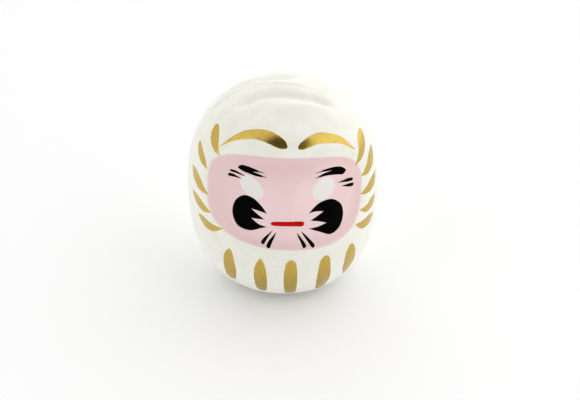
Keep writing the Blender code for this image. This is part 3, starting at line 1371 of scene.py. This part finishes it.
GOLD_STROKES = {
    "right_gold_brow": (
        Stroke(
            (
                (-52.5, 85.5, 0.2), (-45.5, 89.5, 1.8), (-36.5, 92.4, 3.8), (-25, 93.8, 4.8),
                (-13.5, 93, 5.5), (-6, 91.3, 4.6), (-1.5, 90, 2.6),
            ),
            Tip.FINE,
            Tip.ROUND,
        ),
    ),
    "left_gold_brow": (
        Stroke(
            (
                (6, 89.5, 2.4), (13.5, 90.9, 4.2), (22.5, 91.8, 4.9), (31, 90.8, 4.6),
                (40.5, 88.5, 3.2), (50, 82.5, 0.2),
            ),
        ),
    ),
    "right_gold_cheek_strokes": (
        Stroke(((-67, 92, 4), (-61, 87.5, 5.9), (-55, 84, 3.3), (-50, 82, 0.2))),
        Stroke(((-77, 81, 3), (-70, 78, 4.4), (-63, 75.5, 3.4), (-58, 73.5, 0.2))),
        Stroke(
            ((-77.5, 68.6, 0.4), (-72, 66.8, 5.2), (-65, 64.2, 5.8), (-54, 61.6, 0.2)),
            start=Tip.FINE,
        ),
        Stroke(
            ((-73.5, 56.9, 0.3), (-67.5, 54.7, 5), (-60, 53.1, 5.2), (-51.5, 52.9, 0.2)),
            start=Tip.FINE,
        ),
        Stroke(
            ((-66, 46.6, 0.3), (-60, 45.4, 4.8), (-53.5, 44.7, 5), (-42, 47, 0.2)),
            start=Tip.FINE,
        ),
    ),
    "left_gold_cheek_strokes": (
        Stroke(((66.5, 87.5, 3), (60.5, 83.5, 6.3), (54, 78.5, 3.6), (48, 75.5, 0.2))),
        Stroke(((73, 77, 3), (65, 73, 6.6), (57, 70, 4), (51, 69, 0.2))),
        Stroke(
            ((69.5, 65, 0.3), (62, 61.8, 6.3), (54.5, 60.4, 4), (48.5, 60, 0.2)),
            start=Tip.FINE,
        ),
        Stroke(((66, 54, 0.3), (61, 51.5, 5.8), (54, 50.5, 4.4), (47, 52, 0.4)), start=Tip.FINE),
        Stroke(
            ((64, 43.7, 0.3), (58, 42.4, 5.6), (50, 42.9, 4.8), (42.5, 45.7, 0.8)),
            start=Tip.FINE,
        ),
    ),
    "gold_chest_strokes": (
        Stroke(((-37.5, 37, 2.5), (-39.5, 30, 6.4), (-40.5, 23, 7.4), (-44, 14, 5)), end=Tip.DRY),
        Stroke(
            ((-18, 35.5, 1.6), (-18.8, 29, 5.4), (-19.5, 20, 6.4), (-21, 9.5, 4.6)),
            end=Tip.DRY,
        ),
        Stroke(((-0.2, 35.2, 4.4), (-0.4, 27, 6.4), (-0.3, 18, 6.5), (0.2, 8, 5)), end=Tip.DRY),
        Stroke(((20.5, 35, 4.4), (21, 27, 6.5), (22.3, 18, 7.4), (24, 8.5, 5)), end=Tip.DRY),
        Stroke(((39, 35.8, 4), (40.5, 28, 7.6), (42, 21, 7.8), (43, 12.5, 0.6))),
    ),
}

BLACK_STROKES = {
    "right_lash_strokes": (
        Stroke(((-41.5, 78, 0.9), (-38.5, 78.2, 1.2), (-34, 77.9, 0.8), (-29.5, 77.3, 0.1))),
        Stroke(((-42.5, 75.8, 1.4), (-39.5, 76.2, 1.5), (-35.5, 76.1, 0.8), (-32, 75.8, 0.1))),
    ),
    "left_lash_strokes": (
        Stroke(((44.8, 70, 1.4), (41, 70.7, 1.8), (36, 71.4, 1), (31.5, 71.8, 0.1))),
        Stroke(((44.8, 67.2, 1.5), (41.5, 67.8, 1.8), (37.5, 68.7, 0.9), (34, 69.5, 0.1))),
    ),
    "right_whisker_strokes": (
        Stroke(
            ((-11, 51, 0.1), (-13.5, 48.2, 0.9), (-15.5, 45.8, 1.6), (-17.5, 43, 2.1)),
            Tip.FINE,
            Tip.ROUND,
        ),
        Stroke(
            ((-9, 50, 0.1), (-10.7, 47, 1.1), (-12.5, 44.2, 1.8), (-14, 41.6, 2.3)),
            Tip.FINE,
            Tip.ROUND,
        ),
    ),
    "left_whisker_strokes": (
        Stroke(
            ((3.5, 49.2, 0.1), (4.8, 46.6, 1), (6.4, 44, 1.5), (8, 41.4, 2.1)),
            Tip.FINE,
            Tip.DRY,
        ),
        Stroke(
            ((6, 49.8, 0.1), (8.3, 47, 1.1), (10.7, 44, 1.6), (13.3, 41.2, 2)),
            Tip.FINE,
            Tip.ROUND,
        ),
    ),
}

BLACK_BLOTS = {
    "right_eye_paint": (
        Blot((
            (
                (-18, 64.2), (-24, 67.8), (-29, 68.2), (-34, 65.4), (-37, 56.6), (-33.6, 50.5),
                (-25.2, 49.2), (-18, 51.6), (-14.2, 52.7),
            ),
            ((-19, 53.6), (-24.2, 56.6)),
            ((-20, 56.7), (-16, 56.9)),
            ((-19.9, 59.1), (-24.1, 61.8)),
            ((-19.3, 61.2), (-14.4, 60.2)),
        )),
    ),
    "left_eye_paint": (
        Blot((
            (
                (16.9, 64.1), (25.5, 64.8), (33.2, 59.4), (34.4, 54.9), (31.8, 47.8), (24.5, 45.1),
                (17.4, 48), (10.4, 50.9),
            ),
            ((16.5, 51.2), (21.8, 52.4)),
            ((16.7, 54.2), (11.7, 55.4)),
            ((15.5, 57.2), (20, 59.3)),
            ((15, 60.1), (10.3, 59.7)),
        )),
    ),
    "right_lid_stroke": (
        Blot((
            (
                (-24, 81.4), (-29.5, 82), (-34, 81.8), (-36, 80.6), (-32, 79.4), (-27.4, 78.9),
                (-22.3, 78.3), (-15, 78.2),
            ),
            ((-20, 79.3), (-25, 80.1)),
            ((-20.2, 80.1), (-16, 80)),
        )),
    ),
    "left_lid_stroke": (
        Blot((
            (
                (22.2, 79.7), (27.7, 79.8), (33.3, 79.3), (37.6, 78), (40, 76), (37.2, 74.8),
                (32.1, 75.7), (25.4, 76.7), (15.4, 76.7),
            ),
            ((23, 78.2), (28.6, 78.4)),
            ((22.6, 78.9), (16.2, 79)),
        )),
    ),
}

RED_STROKES = {
    "red_mouth": (
        Stroke(
            ((-12.2, 54.7, 2.2), (-7, 54.8, 2.6), (0, 54.6, 2.8), (7.8, 54.1, 3.2)),
            end=Tip.ROUND,
        ),
    ),
}


# ---- The doll ----


class DarumaDoll:
    """The whole doll, sized from its CAD frame."""

    GOLD_FILM = 0.06 * MM
    BLACK_FILM = 0.08 * MM
    RED_FILM = 0.16 * MM
    CROWN_REACH = 44.0
    STRIP_GAP = 0.6
    RING_GAP = 0.6 * MM
    SEAT_GAP = 0.3 * MM

    def __init__(self, effects: Effects) -> None:
        """Reads the frame's sizes and prepares the finishes."""
        front_low, front_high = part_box("front_shell")
        back_low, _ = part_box("back_shell")
        strip_low, strip_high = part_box("crown_seam_strip")
        ring_low, ring_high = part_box("foot_paper_ring")
        self.weight_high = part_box("base_weight")[1].z
        self.form = BodyForm(height=front_high.z, width=front_high.x - front_low.x)
        self.seam_y = (front_high.y + back_low.y) / 2
        self.rim_z = front_low.z
        self.strip_width = strip_high.y - strip_low.y
        self.ring = FootPaperRing(self.form, ring_low.z, ring_high.z)
        self.front_coat = GroundCoat("painted_paper_face", FACE_PATCHES).make(effects)
        self.plain_coat = GroundCoat("painted_paper").make(effects)
        self.strip_coat = GroundCoat("painted_strip", relief=0.07 * MM).make(effects)
        self.clay = RawClay().make(effects)
        self.glue = HideGlue().make(effects)
        self.gold = Paint(Slot.GOLD, self.GOLD_FILM, BronzePaint().make(effects))
        self.black = Paint(Slot.BLACK, self.BLACK_FILM, BLACK_LACQUER.make(effects))
        self.red = Paint(Slot.RED, self.RED_FILM, RED_LACQUER.make(effects))

    def build_shells(self) -> None:
        """Builds the two halves of the body."""
        for side, coat in ((Side.FRONT, self.front_coat), (Side.BACK, self.plain_coat)):
            PaperShell(self.form, side, self.seam_y, self.rim_z).build(coat)

    def build_strips(self) -> None:
        """Builds the crown strip and the two side strips, and leaves a gap between them."""
        reach, side_top = self.CROWN_REACH, self.CROWN_REACH + self.STRIP_GAP
        bottom = self.angle_of(self.ring.high_z + self.RING_GAP)
        ends = {"crown": (-reach, reach), "left": (side_top, bottom), "right": (-side_top, -bottom)}
        for word, span in ends.items():
            name, node = f"painted_{word}_strip", f"{word}_seam_strip"
            strip = SeamStrip(self.form, name, node, self.seam_y, self.strip_width, *span)
            strip.build(self.strip_coat)

    def angle_of(self, z: float) -> float:
        """Gives the angle from upright, in degrees, at which the side meets a height."""
        radius = float(self.form.radius_at(np.array(z)))
        return math.degrees(math.atan2(radius, z - self.form.middle_z))

    def build_foot(self) -> None:
        """Builds the ring and the weight, and dresses the glue inside."""
        self.ring.build(self.strip_coat)
        ClayWeight(self.form, self.weight_high, self.rim_z - self.SEAT_GAP).build(self.clay)
        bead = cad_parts["glue_bead"]
        bead.data.materials.clear()
        bead.data.materials.append(self.glue)
        log.info("glue_bead: the CAD node keeps its shape and takes a new finish")

    def build_paint(self) -> None:
        """Paints the strokes, from the widest brush to the finest."""
        for paint, groups in (
            (self.gold, GOLD_STROKES),
            (self.black, BLACK_STROKES | BLACK_BLOTS),
            (self.red, RED_STROKES),
        ):
            for name, marks in groups.items():
                film = PaintFilm(self.form, self.ring, name, paint)
                for mark in marks:
                    lay = film.add_stroke if isinstance(mark, Stroke) else film.add_blot
                    lay(mark)
                film.build()


# ---- The studio ----


@dataclass(frozen=True)
class Softbox:
    """A square lamp: where it hangs, what it points at, its size and its power."""

    name: str
    place: Point
    aim: Point
    size: float
    watts: float

    def hang(self) -> None:
        """Adds the lamp."""
        data = bpy.data.lights.new(self.name, "AREA")
        data.size = self.size
        data.energy = self.watts
        lamp = bpy.data.objects.new(self.name, data)
        lamp.location = self.place
        lamp.rotation_mode = "QUATERNION"
        toward = Vector(self.aim) - Vector(self.place)
        lamp.rotation_quaternion = toward.to_track_quat("-Z", "Y")
        bpy.context.scene.collection.objects.link(lamp)


@dataclass(frozen=True)
class TentPart:
    """A part of the light tent that is darker or brighter than the rest.

    Attributes:
        toward: the direction of its middle.
        edge: the cosines of the angles from its middle where it begins and where it is full.
        light: its light, as a share of what the tent gives there.
    """

    toward: Point
    edge: Pair
    light: float


TENT_PARTS = (
    # the grey wall at the back left, the front, and the dark mouth that the camera looks through
    TentPart((-0.85, 0.49, 0.2), (0.72, 0.97), 0.6),
    TentPart((0.0, -1.0, 0.0), (0.1, 0.95), 1.05),
    TentPart((-0.07, -0.86, 0.5), (0.73, 0.93), 0.04),
)
LAMPS = (
    Softbox("right_softbox", (0.7, -0.1, 0.95), (0.0, 0.0, 0.05), 1.3, 1.0),
    Softbox("low_front_softbox", (0.0, -0.9, 0.12), (0.0, 0.0, 0.04), 0.5, 0.5),
)


@dataclass(frozen=True)
class Studio:
    """A pale floor, a light tent, soft lamps and the camera."""

    azimuth: float = -5.0
    elevation: float = 32.0
    distance: float = 0.52
    lens: float = 63.4
    sensor_width: float = 36.0
    aim_right: float = 3.33 * MM
    aim_z: float = 39.6 * MM
    floor_size: float = 6.0
    floor_drop: float = 0.05 * MM
    floor_tone: Colour = colour(0.95, 0.95, 0.95)
    wall_light: float = 1.64
    roof_light: float = 1.09
    roof_start: float = 0.9

    def build_floor(self) -> None:
        """Adds the floor, a hair below the foot."""
        form = bmesh.new()
        below = Matrix.Translation((0.0, 0.0, -self.floor_drop))
        half = self.floor_size / 2
        bmesh.ops.create_grid(form, x_segments=1, y_segments=1, size=half, matrix=below)
        mesh = bpy.data.meshes.new("floor")
        form.to_mesh(mesh)
        form.free()
        made, _, shader = new_surface("pale_floor")
        shader["Base Color"].default_value = self.floor_tone
        shader["Roughness"].default_value = 0.7
        shader["Specular IOR Level"].default_value = 0.2
        mesh.materials.append(made)
        floor = bpy.data.objects.new("floor", mesh)
        bpy.context.scene.collection.objects.link(floor)

    def build_tent(self) -> None:
        """Adds the light of a white tent, brighter at its walls than at its roof."""
        world = bpy.data.worlds.new("white_tent")
        world.use_nodes = True
        wires = Wiring(world.node_tree)
        way = wires.node("ShaderNodeTexCoord").outputs["Generated"]
        rise = wires.ramp(wires.axis(way, "Z"), 0.0, self.roof_start)
        level = wires.between(rise, self.wall_light, self.roof_light)
        for part in TENT_PARTS:
            ways = {0: way, 1: part.toward}
            facing = wires.node("ShaderNodeVectorMath", ways, operation="DOT_PRODUCT")
            inside = wires.ramp(facing.outputs["Value"], *part.edge)
            level = wires.times(level, wires.between(inside, 1.0, part.light))
        back = world.node_tree.nodes["Background"].inputs
        back["Color"].default_value = colour(1.0, 1.0, 1.0)
        wires.feed(back["Strength"], level)
        bpy.context.scene.world = world

    def build_camera(self) -> None:
        """Adds the camera."""
        turn, lean = math.radians(self.azimuth), math.radians(self.elevation)
        right = Vector((math.cos(turn), math.sin(turn), 0.0))
        level_back = Vector((math.sin(turn), -math.cos(turn), 0.0))
        back = level_back * math.cos(lean) + Vector((0.0, 0.0, math.sin(lean)))
        aim = right * self.aim_right + Vector((0.0, 0.0, self.aim_z))
        data = bpy.data.cameras.new("camera")
        data.lens = self.lens
        data.sensor_width = self.sensor_width
        camera = bpy.data.objects.new("camera", data)
        camera.location = aim + back * self.distance
        camera.rotation_mode = "QUATERNION"
        camera.rotation_quaternion = (-back).to_track_quat("-Z", "Y")
        bpy.context.scene.collection.objects.link(camera)
        bpy.context.scene.camera = camera

    def build(self) -> None:
        """Adds everything round the doll."""
        self.build_camera()
        self.build_floor()
        self.build_tent()
        for lamp in LAMPS:
            lamp.hang()
        bpy.context.scene.view_settings.view_transform = "Standard"


def main() -> None:
    """Builds the studio and the doll."""
    logging.basicConfig(level=logging.INFO, format="%(name)s: %(message)s")
    Studio().build()
    doll = DarumaDoll(Effects())
    doll.build_shells()
    doll.build_strips()
    doll.build_foot()
    doll.build_paint()


if __name__ == "__main__":
    main()
